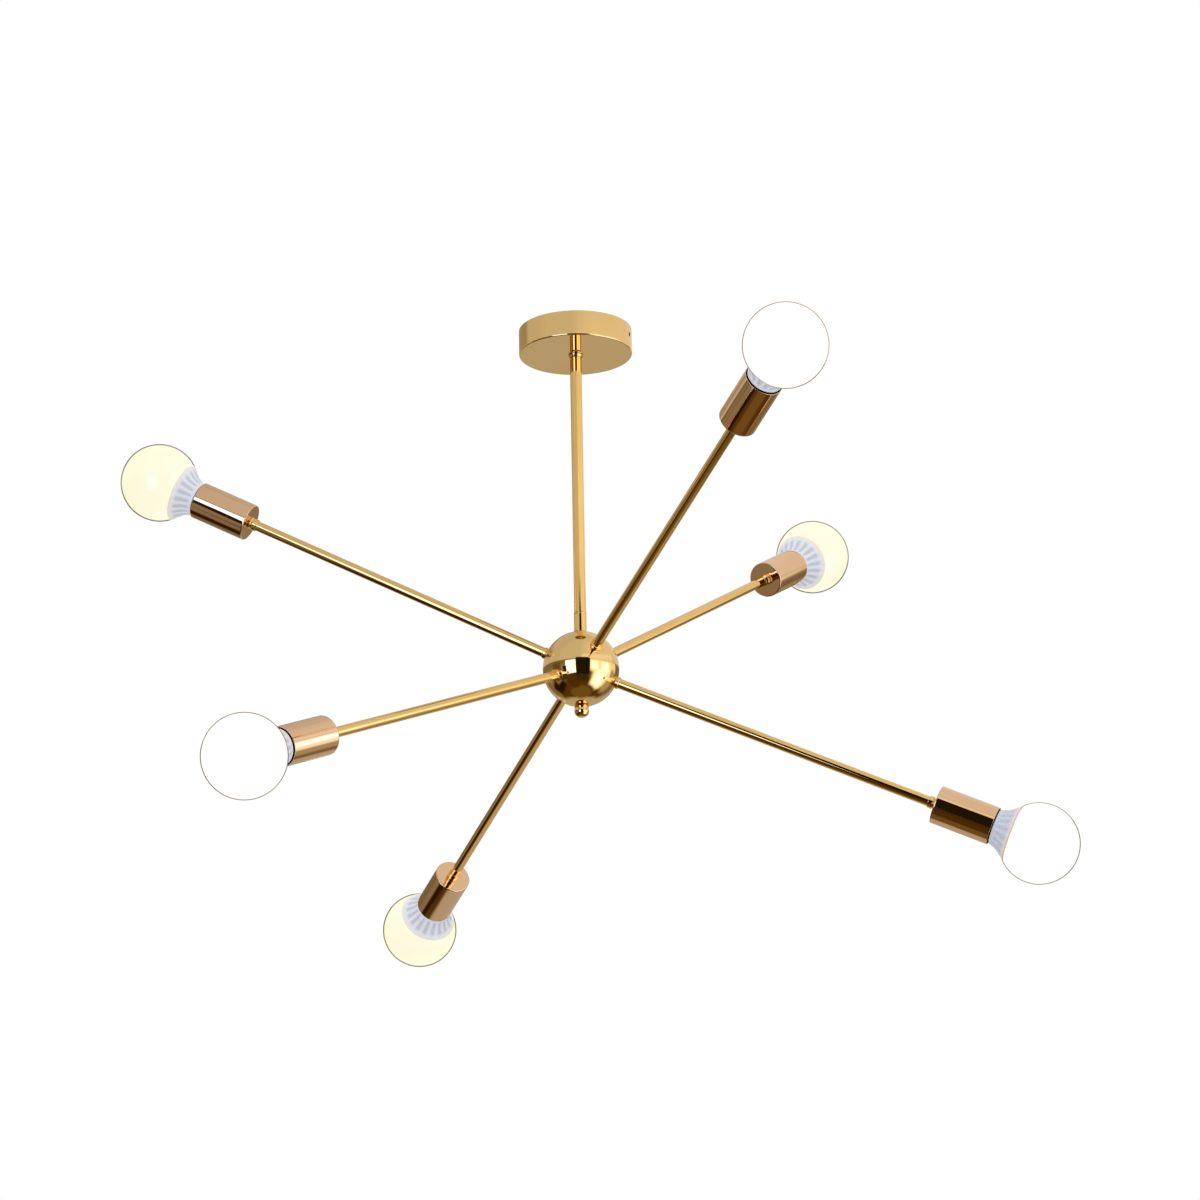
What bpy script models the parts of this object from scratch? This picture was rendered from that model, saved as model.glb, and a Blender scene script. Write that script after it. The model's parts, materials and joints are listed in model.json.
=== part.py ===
"""Multi arm chandelier: six lamp arms on a ball hub, hung on a stem from a ceiling canopy.

Frame: +Z is up and the origin is the middle of the ceiling bracket's top face, where it meets
the ceiling. The bracket and the two canopy screws lie along X. Heights below are in
millimetres from the ceiling (negative is down) and distances along an arm are in millimetres
from the hub's centre. Neighbouring pieces keep a gap of 0.3 mm.
"""
import math

import bmesh
import bpy
from mathutils import Vector

MM = 0.001
GAP = 0.3

# ---------------------------------------------------------------- driving dimensions (mm)
CANOPY_RADIUS = 58.0
CANOPY_BOTTOM = -27.0
CANOPY_WALL = 1.0
SCREW_HEIGHT = -11.5

BRACKET_HALF_LENGTH = 54.4
BRACKET_WIDTH = 20.0
BRACKET_STEEL = 2.0
BRACKET_TAB_DEPTH = 17.0
BRACKET_SLOT_X = 41.0
SLOT_RADIUS = 2.5
SLOT_HALF_RUN = 5.0
TAB_TAP_RADIUS = 2.2
CANOPY_HOLE_RADIUS = 2.6

EARTH_X = 18.0
EARTH_TAP_RADIUS = 2.3
BLOCK_CENTRE_X = -20.0
BLOCK_SIZE = (20.0, 18.0, 12.0)
BLOCK_CENTRE_Z = -BRACKET_STEEL - GAP - BLOCK_SIZE[2] / 2
WIRE_WAY_RADIUS = 1.7
WIRE_WAY_SPACING = 6.2
WASHER_RADIUS = 9.0
WASHER_STEEL = 1.0
NUT_RADIUS = 9.2
NUT_DEPTH = 5.0

HUB_HEIGHT = -363.0
HUB_RADIUS = 38.3
HUB_WALL = 2.0

STEM_RADIUS = 6.0
STEM_BORE = 5.0
STEM_THREAD_RADIUS = 5.0
STEM_THREAD_BORE = 3.8
STEM_THREAD_TOP = -17.5
STEM_BOTTOM = HUB_HEIGHT + 59.0
FLANGE_RADIUS = 7.5
FLANGE_HEIGHT = 3.0
SLEEVE_RADIUS = 6.45
COUPLER_RADIUS = 4.7
COUPLER_BORE = 3.4

SPINDLE_TOP = HUB_HEIGHT + 35.0
SPINDLE_FLOOR = SPINDLE_TOP - 16.0
SPINDLE_SOCKET_RADIUS = 8.0
SPINDLE_ROD_RADIUS = 4.0
WIRE_WINDOW_RADIUS = 3.2
COUPLER_LOW = SPINDLE_TOP - 6.0

CABLE_RADIUS = 2.5
CABLE_END = SPINDLE_FLOOR + 1.0

FINIAL_TIP = HUB_HEIGHT - 50.5
FINIAL_RADIUS = 7.2
FINIAL_DOME = 6.2

ARM_RADIUS = 5.0
ARM_BORE = 4.0
ARM_START = 30.0
ARM_END = 386.0
COLLAR_START = 373.5
COLLAR_RADIUS = 6.1
CUP_START = 381.5
CUP_LENGTH = 60.0
CUP_RADIUS = 19.0
CUP_WALL = 0.8

BULB_CENTRE = 489.0
BULB_RADIUS = 40.0
BULB_WALL = 1.5
BULB_SEAM = -26.5
CAP_RADIUS = 13.2
CAP_TIP = -80.0
CAP_TOP = -53.0
THREAD_PITCH = 3.62
THREAD_DEPTH = 0.6

# direction of each arm: azimuth anticlockwise from +X seen from above, and tilt above level
ARM_DIRECTIONS = (
    (10.3, -24.2),
    (70.5, 27.7),
    (130.2, -20.2),
    (189.7, 27.3),
    (244.9, -21.2),
    (312.1, 22.1),
)

FINE_SIDES = 48
BALL_SIDES = 28
CUP_SIDES = 20
BULB_SIDES = 16
SMALL_SIDES = 12
TUBE_SIDES = 10


# ---------------------------------------------------------------- helpers
def make_material(name, colour, metallic, roughness):
    material = bpy.data.materials.new(name)
    material.use_nodes = True
    shader = material.node_tree.nodes["Principled BSDF"]
    shader.inputs["Base Color"].default_value = (*colour, 1.0)
    shader.inputs["Metallic"].default_value = metallic
    shader.inputs["Roughness"].default_value = roughness
    material.diffuse_color = (*colour, 1.0)
    return material


def add_object(name, mesh, material, parent=None, location=(0, 0, 0)):
    """Link a mesh as a named object at a place in millimetres."""
    if not mesh.materials:
        mesh.materials.append(material)
    piece = bpy.data.objects.new(name, mesh)
    bpy.context.collection.objects.link(piece)
    piece.parent = parent
    piece.location = Vector(location) * MM
    return piece


def add_empty(name, parent=None, location=(0, 0, 0), rotation=(0, 0, 0)):
    empty = bpy.data.objects.new(name, None)
    bpy.context.collection.objects.link(empty)
    empty.parent = parent
    empty.location = Vector(location) * MM
    empty.rotation_euler = rotation
    return empty


def finish_mesh(name, bm):
    """Turn a bmesh into a mesh with its faces pointing out and its round stretches smooth."""
    bmesh.ops.remove_doubles(bm, verts=bm.verts[:], dist=0.001 * MM)
    bmesh.ops.recalc_face_normals(bm, faces=bm.faces[:])
    mesh = bpy.data.meshes.new(name)
    bm.to_mesh(mesh)
    bm.free()
    mesh.shade_smooth()
    mesh.set_sharp_from_angle(angle=math.radians(35))
    return mesh


def turned_mesh(name, outline, sides):
    """Spin (radius, height) points about Z. A chain starts and ends on the axis, and an
    outline clear of the axis is closed into a ring."""
    bm = bmesh.new()
    verts = [bm.verts.new((radius * MM, 0, height * MM)) for radius, height in outline]
    edges = [bm.edges.new(pair) for pair in zip(verts, verts[1:])]
    if outline[0][0] > 0:
        edges.append(bm.edges.new((verts[-1], verts[0])))
    bmesh.ops.spin(
        bm,
        geom=verts + edges,
        cent=(0, 0, 0),
        axis=(0, 0, 1),
        angle=2 * math.pi,
        steps=sides,
        use_merge=True,
    )
    return finish_mesh(name, bm)


def extruded_mesh(name, outline, depth):
    """Extrude a closed outline of (x, z) points by depth along Y, centred on Y = 0."""
    bm = bmesh.new()
    verts = [bm.verts.new((x * MM, -0.5 * depth * MM, z * MM)) for x, z in outline]
    face = bm.faces.new(verts)
    result = bmesh.ops.extrude_face_region(bm, geom=[face])
    moved = [item for item in result["geom"] if isinstance(item, bmesh.types.BMVert)]
    bmesh.ops.translate(bm, verts=moved, vec=(0, depth * MM, 0))
    return finish_mesh(name, bm)


def ring(inner, outer, low, high):
    """Outline of a plain ring between two radii and two heights."""
    return [(inner, low), (outer, low), (outer, high), (inner, high)]


def arc(radius, start, end, steps, centre=(0.0, 0.0)):
    """Points on a circle from one angle to another, in degrees above level."""
    points = []
    for step in range(steps + 1):
        angle = math.radians(start + (end - start) * step / steps)
        across = centre[0] + radius * math.cos(angle)
        up = centre[1] + radius * math.sin(angle)
        points.append((max(across, 0.0) if abs(across) > 1e-6 else 0.0, up))
    return points


def cut(piece, cutter):
    """Take a cutter's shape out of a piece."""
    cutter.hide_render = True
    cutter.display_type = "WIRE"
    modifier = piece.modifiers.new("cut " + cutter.name, "BOOLEAN")
    modifier.operation = "DIFFERENCE"
    modifier.object = cutter
    return cutter


def rod_cutter(name, radius, length, location, rotation=(0, 0, 0), parent=None):
    """A round cutter centred on a place, with its length along its own Z."""
    outline = [(0, -length / 2), (radius, -length / 2), (radius, length / 2), (0, length / 2)]
    mesh = turned_mesh(name, outline, SMALL_SIDES)
    cutter = add_object(name, mesh, steel, parent, location)
    cutter.rotation_euler = rotation
    return cutter


for old in list(bpy.data.objects):
    bpy.data.objects.remove(old, do_unlink=True)

gold = make_material("polished_gold", (0.83, 0.61, 0.27), 1.0, 0.12)
rose_gold = make_material("rose_gold", (0.80, 0.56, 0.36), 1.0, 0.14)
steel = make_material("zinc_steel", (0.62, 0.63, 0.64), 1.0, 0.35)
brass = make_material("brass", (0.78, 0.62, 0.30), 1.0, 0.3)
nickel = make_material("nickel", (0.70, 0.69, 0.66), 1.0, 0.25)
dark_steel = make_material("dark_steel", (0.05, 0.045, 0.04), 1.0, 0.4)
opal = make_material("opal_glass", (1.0, 0.97, 0.88), 0.0, 0.2)
white_plastic = make_material("white_plastic", (0.78, 0.80, 0.84), 0.0, 0.4)
black_plastic = make_material("black_plastic", (0.03, 0.03, 0.03), 0.0, 0.45)
grey_plastic = make_material("grey_plastic", (0.75, 0.75, 0.72), 0.0, 0.5)

SIDEWAYS = (0, math.pi / 2, 0)
ACROSS = (math.pi / 2, 0, 0)


# ---------------------------------------------------------------- ceiling bracket and canopy
def make_bracket():
    """A steel strap under the ceiling with two slots for ceiling screws, and a tab turned
    down at each end, tapped for a canopy screw."""
    length = BRACKET_HALF_LENGTH
    inside = length - BRACKET_STEEL
    outline = [
        (-length, -BRACKET_TAB_DEPTH),
        (-length, -1.0),
        (-length + 1.0, 0.0),
        (length - 1.0, 0.0),
        (length, -1.0),
        (length, -BRACKET_TAB_DEPTH),
        (inside, -BRACKET_TAB_DEPTH),
        (inside, -BRACKET_STEEL),
        (-inside, -BRACKET_STEEL),
        (-inside, -BRACKET_TAB_DEPTH),
    ]
    mesh = extruded_mesh("ceiling_bracket", outline, BRACKET_WIDTH)
    bracket = add_object("ceiling_bracket", mesh, steel)
    for side, label in ((1, "right"), (-1, "left")):
        slot_end = arc(SLOT_RADIUS, -90, 90, 4, (SLOT_HALF_RUN, 0.0))
        slot_outline = slot_end + [(-x, z) for x, z in reversed(slot_end)]
        slot_mesh = extruded_mesh("slot_" + label, slot_outline, 8.0)
        slot = add_object("slot_" + label, slot_mesh, steel, None, (side * BRACKET_SLOT_X, 0, -1))
        slot.rotation_euler = ACROSS
        cut(bracket, slot)
        tab_place = (side * (length - BRACKET_STEEL / 2), 0, SCREW_HEIGHT)
        tap = rod_cutter("tab_hole_" + label, TAB_TAP_RADIUS, 8.0, tab_place, SIDEWAYS)
        cut(bracket, tap)
    cut(bracket, rod_cutter("earth_hole", EARTH_TAP_RADIUS, 8.0, (EARTH_X, 0, -1)))


def make_canopy():
    """The flat drum over the bracket, open at the ceiling, with a hole for the stem."""
    inside = CANOPY_RADIUS - CANOPY_WALL
    floor = CANOPY_BOTTOM + CANOPY_WALL
    hole = STEM_THREAD_RADIUS + GAP
    outline = [
        (inside, -0.5),
        (CANOPY_RADIUS, -0.5),
        (CANOPY_RADIUS, CANOPY_BOTTOM + 0.6),
        (CANOPY_RADIUS - 0.6, CANOPY_BOTTOM),
        (hole, CANOPY_BOTTOM),
        (hole, floor),
        (inside, floor),
    ]
    canopy = add_object("canopy_shell", turned_mesh("canopy_shell", outline, FINE_SIDES), gold)
    for side, label in ((1, "right"), (-1, "left")):
        place = (side * CANOPY_RADIUS, 0, SCREW_HEIGHT)
        hole_name = "canopy_hole_" + label
        cut(canopy, rod_cutter(hole_name, CANOPY_HOLE_RADIUS, 8.0, place, SIDEWAYS))


def make_canopy_screws():
    """Grub screws in the bracket's tabs that come out through the canopy's side holes."""
    start = BRACKET_HALF_LENGTH - BRACKET_STEEL - 3.0
    end = CANOPY_RADIUS - 0.2
    outline = [
        (0, start),
        (1.4, start),
        (1.8, start + 0.5),
        (1.8, end),
        (1.0, end),
        (1.0, end - 1.6),
        (0, end - 1.6),
    ]
    mesh = turned_mesh("canopy_screw", outline, SMALL_SIDES)
    for side, label in ((1, "1"), (-1, "2")):
        screw = add_object("canopy_screw_" + label, mesh, dark_steel, None, (0, 0, SCREW_HEIGHT))
        screw.rotation_euler = (0, side * math.pi / 2, 0)


def make_canopy_fittings():
    """What the canopy hides: the terminal block, earth screw, washer and locknut."""
    half_x = BLOCK_SIZE[0] / 2
    half_z = BLOCK_SIZE[2] / 2
    block_outline = [(-half_x, -half_z), (half_x, -half_z), (half_x, half_z), (-half_x, half_z)]
    block = add_object(
        "terminal_block",
        extruded_mesh("terminal_block", block_outline, BLOCK_SIZE[1]),
        grey_plastic,
        None,
        (BLOCK_CENTRE_X, 0, BLOCK_CENTRE_Z),
    )
    for way in (-1, 0, 1):
        place = (BLOCK_CENTRE_X + way * WIRE_WAY_SPACING, 0, BLOCK_CENTRE_Z)
        label = "wire_way_%d" % (way + 2)
        cut(block, rod_cutter(label, WIRE_WAY_RADIUS, 2 * BLOCK_SIZE[1], place, ACROSS))

    earth_outline = [(0, -0.4), (1.9, -0.4), (1.9, -2.3), (3.8, -2.3), (3.4, -4.6), (0, -4.9)]
    earth_mesh = turned_mesh("earth_screw", earth_outline, SMALL_SIDES)
    add_object("earth_screw", earth_mesh, brass, None, (EARTH_X, 0, 0))

    floor = CANOPY_BOTTOM + CANOPY_WALL + GAP
    bore = STEM_THREAD_RADIUS + GAP
    washer_outline = ring(bore, WASHER_RADIUS, floor, floor + WASHER_STEEL)
    add_object("lock_washer", turned_mesh("lock_washer", washer_outline, BULB_SIDES), steel)
    nut_low = floor + WASHER_STEEL + GAP
    nut_high = nut_low + NUT_DEPTH
    nut_outline = [(0, nut_low), (NUT_RADIUS, nut_low), (NUT_RADIUS, nut_high), (0, nut_high)]
    nut = add_object("canopy_locknut", turned_mesh("canopy_locknut", nut_outline, 6), brass)
    cut(nut, rod_cutter("nut_bore", bore, 20.0, (0, 0, nut_low)))


# ---------------------------------------------------------------- stem
def make_stem():
    """A tube with a threaded top end, a cone flange under the canopy, and a sleeve over the
    threaded nipple that joins it to the hub."""
    flange_top = CANOPY_BOTTOM - GAP
    flange_low = flange_top - FLANGE_HEIGHT
    body_top = flange_low - GAP
    bore = STEM_THREAD_RADIUS + GAP
    flange_outline = [
        (bore, flange_top),
        (FLANGE_RADIUS, flange_top),
        (FLANGE_RADIUS, flange_top - 1.0),
        (STEM_RADIUS + 0.1, flange_low),
        (bore, flange_low),
    ]
    add_object("stem_flange", turned_mesh("stem_flange", flange_outline, CUP_SIDES), gold)

    stem_outline = [
        (STEM_THREAD_BORE, STEM_THREAD_TOP),
        (STEM_THREAD_RADIUS, STEM_THREAD_TOP),
        (STEM_THREAD_RADIUS, body_top),
        (STEM_RADIUS, body_top),
        (STEM_RADIUS, STEM_BOTTOM),
        (STEM_BORE, STEM_BOTTOM),
        (STEM_BORE, body_top - 6.0),
        (STEM_THREAD_BORE, body_top - 7.0),
    ]
    add_object("stem_tube", turned_mesh("stem_tube", stem_outline, CUP_SIDES), gold)

    ball_top = HUB_HEIGHT + HUB_RADIUS
    sleeve_outline = ring(STEM_BORE, SLEEVE_RADIUS, ball_top + GAP, STEM_BOTTOM - GAP)
    add_object("stem_sleeve", turned_mesh("stem_sleeve", sleeve_outline, CUP_SIDES), gold)

    coupler_outline = ring(COUPLER_BORE, COUPLER_RADIUS, COUPLER_LOW, STEM_BOTTOM + 14.0)
    coupler_mesh = turned_mesh("stem_coupler", coupler_outline, SMALL_SIDES)
    add_object("stem_coupler", coupler_mesh, steel)


def make_feed_cable():
    """The supply cable from the terminal block round one bend and down the stem to the hub."""
    bend = BLOCK_CENTRE_X + BLOCK_SIZE[0] / 2 + 1.5
    bend_radius = -bend
    bend_top = BLOCK_CENTRE_Z
    points = [(bend, bend_top)]
    steps = 8
    for step in range(1, steps + 1):
        angle = math.pi / 2 * (1 - step / steps)
        across = bend + bend_radius * math.cos(angle)
        points.append((across, bend_top - bend_radius * (1 - math.sin(angle))))
    points.append((0.0, CABLE_END))
    curve = bpy.data.curves.new("feed_cable", "CURVE")
    curve.dimensions = "3D"
    curve.bevel_depth = CABLE_RADIUS * MM
    curve.bevel_resolution = 2
    curve.use_fill_caps = True
    spline = curve.splines.new("POLY")
    spline.points.add(len(points) - 1)
    for point, (across, height) in zip(spline.points, points):
        point.co = (across * MM, 0, height * MM, 1)
    curve.materials.append(grey_plastic)
    cable = bpy.data.objects.new("feed_cable", curve)
    bpy.context.collection.objects.link(cable)


# ---------------------------------------------------------------- hub
def half_shell(sign):
    """Outline of half a ball, cut off at the equator and with a hole at its pole."""
    inner_radius = HUB_RADIUS - HUB_WALL
    hole = STEM_BORE if sign > 0 else SPINDLE_ROD_RADIUS + GAP
    edge_outer = math.degrees(math.asin(GAP / 2 / HUB_RADIUS))
    edge_inner = math.degrees(math.asin(GAP / 2 / inner_radius))
    pole_outer = math.degrees(math.acos(hole / HUB_RADIUS))
    pole_inner = math.degrees(math.acos(hole / inner_radius))
    outer = arc(HUB_RADIUS, edge_outer, pole_outer, 7)
    inner = arc(inner_radius, pole_inner, edge_inner, 5)
    return [(across, sign * up) for across, up in outer + inner]


def make_hub(arm_axes):
    """A ball in two spun halves, clamped on a hollow spindle by the finial nut below."""
    for name, sign in (("hub_upper_shell", 1), ("hub_lower_shell", -1)):
        mesh = turned_mesh(name, half_shell(sign), BALL_SIDES)
        shell = add_object(name, mesh, gold, None, (0, 0, HUB_HEIGHT))
        for number, (_, tilt) in enumerate(ARM_DIRECTIONS, 1):
            if tilt * sign > 0:
                place = (0, 0, HUB_RADIUS)
                hole_name = "arm_hole_%d" % number
                parent = arm_axes[number - 1]
                cut(shell, rod_cutter(hole_name, ARM_RADIUS + GAP, 24.0, place, parent=parent))

    rod_end = HUB_HEIGHT - HUB_RADIUS - 6.0
    spindle_outline = [
        (0, SPINDLE_FLOOR),
        (COUPLER_RADIUS + GAP, SPINDLE_FLOOR),
        (COUPLER_RADIUS + GAP, SPINDLE_TOP),
        (SPINDLE_SOCKET_RADIUS, SPINDLE_TOP - 0.6),
        (SPINDLE_SOCKET_RADIUS, SPINDLE_FLOOR - 4.0),
        (SPINDLE_ROD_RADIUS, SPINDLE_FLOOR - 8.0),
        (SPINDLE_ROD_RADIUS, rod_end),
        (0, rod_end),
    ]
    spindle_mesh = turned_mesh("hub_spindle", spindle_outline, SMALL_SIDES)
    spindle = add_object("hub_spindle", spindle_mesh, steel)
    window_place = (0, 0, SPINDLE_FLOOR + 4.5)
    cut(spindle, rod_cutter("wire_window", WIRE_WINDOW_RADIUS, 30.0, window_place, ACROSS))

    finial_top = HUB_HEIGHT - HUB_RADIUS - GAP
    dome_start = FINIAL_TIP + FINIAL_DOME
    bore = SPINDLE_ROD_RADIUS + GAP
    dome = [
        (FINIAL_RADIUS * across, dome_start - FINIAL_DOME * down)
        for across, down in arc(1.0, 18, 72, 3)
    ]
    finial_outline = [
        (0, rod_end - 0.6),
        (bore, rod_end - 0.6),
        (bore, finial_top),
        (FINIAL_RADIUS - 1.0, finial_top),
        (FINIAL_RADIUS, finial_top - 1.2),
        (FINIAL_RADIUS, dome_start),
        *dome,
        (0, FINIAL_TIP),
    ]
    add_object("finial_nut", turned_mesh("finial_nut", finial_outline, BULB_SIDES), gold)

    connector_outline = [(0, -10), (6.6, -10), (6.6, -4), (4.4, 9), (3.6, 10), (0, 10)]
    connector_mesh = turned_mesh("wire_connector", connector_outline, SMALL_SIDES)
    add_object("wire_connector", connector_mesh, black_plastic, None, (6, 17, HUB_HEIGHT - 4))


# ---------------------------------------------------------------- arms, lampholders and bulbs
def arm_meshes():
    """The shared meshes of one arm, with heights measured along the arm from the hub."""
    shoulder = HUB_RADIUS + GAP
    tube = [
        (ARM_BORE, ARM_START),
        (ARM_RADIUS, ARM_START),
        (ARM_RADIUS, shoulder),
        (ARM_RADIUS + 1.0, shoulder),
        (ARM_RADIUS + 1.0, shoulder + 3.0),
        (ARM_RADIUS, shoulder + 3.4),
        (ARM_RADIUS, ARM_END),
        (ARM_BORE, ARM_END),
    ]
    bore = ARM_RADIUS + GAP
    collar_end = CUP_START - GAP
    collar = [
        (bore, COLLAR_START),
        (COLLAR_RADIUS, COLLAR_START),
        (COLLAR_RADIUS, collar_end - 1.6),
        (COLLAR_RADIUS - 0.4, collar_end - 1.0),
        (COLLAR_RADIUS, collar_end),
        (bore, collar_end),
    ]
    inside = CUP_RADIUS - CUP_WALL
    cup_end = CUP_START + CUP_LENGTH
    cup = [
        (bore, CUP_START),
        (CUP_RADIUS - 0.8, CUP_START),
        (CUP_RADIUS, CUP_START + 0.8),
        (CUP_RADIUS, cup_end),
        (inside, cup_end),
        (inside, CUP_START + 1.2),
        (bore, CUP_START + 1.2),
    ]
    holder_base = ARM_END + 1.0
    holder_top = BULB_CENTRE + CAP_TOP - 3.0
    well_floor = BULB_CENTRE + CAP_TIP - 1.5
    holder = [
        (0, holder_base),
        (8.0, holder_base),
        (16.5, holder_base + 9.0),
        (16.5, holder_top),
        (CAP_RADIUS + 1.0, holder_top),
        (CAP_RADIUS + 1.0, well_floor),
        (0, well_floor),
    ]
    return {
        "arm_tube": (turned_mesh("arm_tube", tube, TUBE_SIDES), gold),
        "socket_collar": (turned_mesh("socket_collar", collar, SMALL_SIDES), rose_gold),
        "socket_cup": (turned_mesh("socket_cup", cup, CUP_SIDES), rose_gold),
        "lampholder": (turned_mesh("lampholder", holder, SMALL_SIDES), black_plastic),
    }


def bulb_meshes():
    """The shared meshes of one bulb, with heights measured from the middle of its globe."""
    thread_start = CAP_TIP + 8.0
    thread = []
    for turn in range(3):
        crest = thread_start + THREAD_PITCH * (turn + 0.5)
        thread += [(CAP_RADIUS - THREAD_DEPTH, crest - THREAD_PITCH / 2), (CAP_RADIUS, crest)]
    cap = [
        (0, CAP_TIP),
        (4.8, CAP_TIP),
        (6.4, CAP_TIP + 1.6),
        (11.4, CAP_TIP + 4.4),
        *thread,
        (CAP_RADIUS - THREAD_DEPTH, CAP_TOP),
        (CAP_RADIUS - 1.6, CAP_TOP),
        (CAP_RADIUS - 1.6, CAP_TIP + 7.0),
        (0, CAP_TIP + 4.0),
    ]
    neck_low = CAP_TOP + GAP
    neck_top = BULB_SEAM - GAP
    seam_radius = math.sqrt(BULB_RADIUS ** 2 - BULB_SEAM ** 2)
    neck = [
        (13.6, neck_low),
        (17.0, neck_low + 2.5),
        (17.4, -47.0),
        (20.5, -39.0),
        (24.7, -32.0),
        (seam_radius, neck_top),
        (seam_radius - 1.8, neck_top),
        (18.8, -38.4),
        (12.0, neck_low),
    ]
    inner_radius = BULB_RADIUS - BULB_WALL
    inner_seam = math.degrees(math.asin(BULB_SEAM / inner_radius))
    outer_seam = math.degrees(math.asin(BULB_SEAM / BULB_RADIUS))
    globe = arc(inner_radius, 90, inner_seam, 5) + arc(BULB_RADIUS, outer_seam, 90, 8)
    return {
        "bulb_cap": (turned_mesh("bulb_cap", cap, SMALL_SIDES), nickel),
        "bulb_neck": (turned_mesh("bulb_neck", neck, BULB_SIDES), white_plastic),
        "bulb_globe": (turned_mesh("bulb_globe", globe, BULB_SIDES), opal),
    }


def make_arm_axes():
    """One empty for each arm at the hub's centre, with its Z along the arm."""
    axes = []
    for number, (azimuth, tilt) in enumerate(ARM_DIRECTIONS, 1):
        turn = (0, math.radians(90 - tilt), math.radians(azimuth))
        axes.append(add_empty("arm_axis_%d" % number, None, (0, 0, HUB_HEIGHT), turn))
    return axes


def make_arms(arm_axes):
    fixed = arm_meshes()
    turning = bulb_meshes()
    for number, axis in enumerate(arm_axes, 1):
        for name, (mesh, material) in fixed.items():
            add_object("%s_%d" % (name, number), mesh, material, axis)
        pivot = add_empty("bulb_pivot_%d" % number, axis, (0, 0, BULB_CENTRE))
        for name, (mesh, material) in turning.items():
            add_object("%s_%d" % (name, number), mesh, material, pivot)


make_bracket()
make_canopy()
make_canopy_screws()
make_canopy_fittings()
make_stem()
make_feed_cable()
axes = make_arm_axes()
bpy.context.view_layer.update()
make_hub(axes)
make_arms(axes)
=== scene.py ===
"""Looks of the multi arm chandelier: smooth polished shells, ribbed bulbs, studio and camera.

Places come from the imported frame. Outlines are in millimetres, and objects are in metres."""
import json
import math

import bmesh
import bpy
from mathutils import Matrix, Vector


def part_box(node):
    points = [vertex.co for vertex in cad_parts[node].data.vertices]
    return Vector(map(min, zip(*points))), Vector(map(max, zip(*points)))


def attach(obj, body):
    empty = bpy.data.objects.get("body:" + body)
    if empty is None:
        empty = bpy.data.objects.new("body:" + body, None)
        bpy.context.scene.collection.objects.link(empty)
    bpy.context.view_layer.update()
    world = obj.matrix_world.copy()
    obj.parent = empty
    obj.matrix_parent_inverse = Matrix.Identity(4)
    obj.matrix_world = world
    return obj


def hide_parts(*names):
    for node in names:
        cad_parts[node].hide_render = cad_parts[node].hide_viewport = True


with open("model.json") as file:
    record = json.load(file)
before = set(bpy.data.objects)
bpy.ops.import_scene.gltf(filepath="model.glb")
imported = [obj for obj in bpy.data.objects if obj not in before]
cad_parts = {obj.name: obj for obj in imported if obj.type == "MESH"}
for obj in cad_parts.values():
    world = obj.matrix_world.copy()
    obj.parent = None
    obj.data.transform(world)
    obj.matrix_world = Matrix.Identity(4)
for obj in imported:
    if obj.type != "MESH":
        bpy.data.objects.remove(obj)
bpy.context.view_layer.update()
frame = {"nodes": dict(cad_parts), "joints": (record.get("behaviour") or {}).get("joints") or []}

MM = 0.001
UP = Vector((0, 0, 1))
FIXTURE = "fixture"
JOINTS = {joint["child"]: joint for joint in frame["joints"]}

ARMS = range(1, 7)
# Bulbs whose globes glow warmer, and bulbs whose necks take the neck material's painted-shade copy
# rather than its painted-light copy.
WARM_BULBS = (2, 3, 4)
NECKS_IN_PAINTED_SHADE = (1,)


# ---------------------------------------------------------------- places in the frame
# The ball hub: its middle, halfway between its two halves, the radii in millimetres of its two
# holes, and its own radius, worked out from the edge of the upper hole.
HUB = Vector((0, 0, (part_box("hub_lower_shell")[1].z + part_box("hub_upper_shell")[0].z) / 2))
HUB_TOP_HOLE = 5.0
HUB_FOOT_HOLE = 4.3
HUB_RADIUS = math.hypot((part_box("hub_upper_shell")[1].z - HUB.z) / MM, HUB_TOP_HOLE)


def node_span(node):
    """(low, high, outer radius) in millimetres of a CAD node that stands on the Z axis."""
    low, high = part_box(node)
    return low.z / MM, high.z / MM, high.x / MM


def arm_matrix(number):
    """Hub-centred frame of one arm, with Z along it."""
    axis = Vector(JOINTS["bulb_%d" % number]["axis"])
    return Matrix.Translation(HUB) @ axis.to_track_quat("Z", "Y").to_matrix().to_4x4()


def along(node, number):
    """(start, end, outer radius) in millimetres of a CAD node along an arm from the hub."""
    inverse = arm_matrix(number).inverted()
    points = [inverse @ vertex.co for vertex in frame["nodes"][node].data.vertices]
    heights = [point.z for point in points]
    radius = max(math.hypot(point.x, point.y) for point in points)
    return min(heights) / MM, max(heights) / MM, radius / MM


# ---------------------------------------------------------------- camera
# The distance is in metres from the hub, and the angles are in degrees. The camera stands
# CAMERA_TURN round from -Y towards +X and CAMERA_DROP below the hub's level. The last three
# angles then turn its view away from the hub.
CAMERA_DISTANCE = 3.8976
CAMERA_TURN = 17.0
CAMERA_DROP = 16.503
CAMERA_YAW = 0.2965
CAMERA_PITCH = 1.0104
CAMERA_ROLL = -0.987
# Focal length and sensor width, in millimetres.
CAMERA_LENS = 116.82
CAMERA_SENSOR = 36.0


def turned_pair(first, second, degrees):
    """Turn two axes that are at right angles in their plane, the first towards the second."""
    angle = math.radians(degrees)
    return (
        first * math.cos(angle) + second * math.sin(angle),
        second * math.cos(angle) - first * math.sin(angle),
    )


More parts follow.
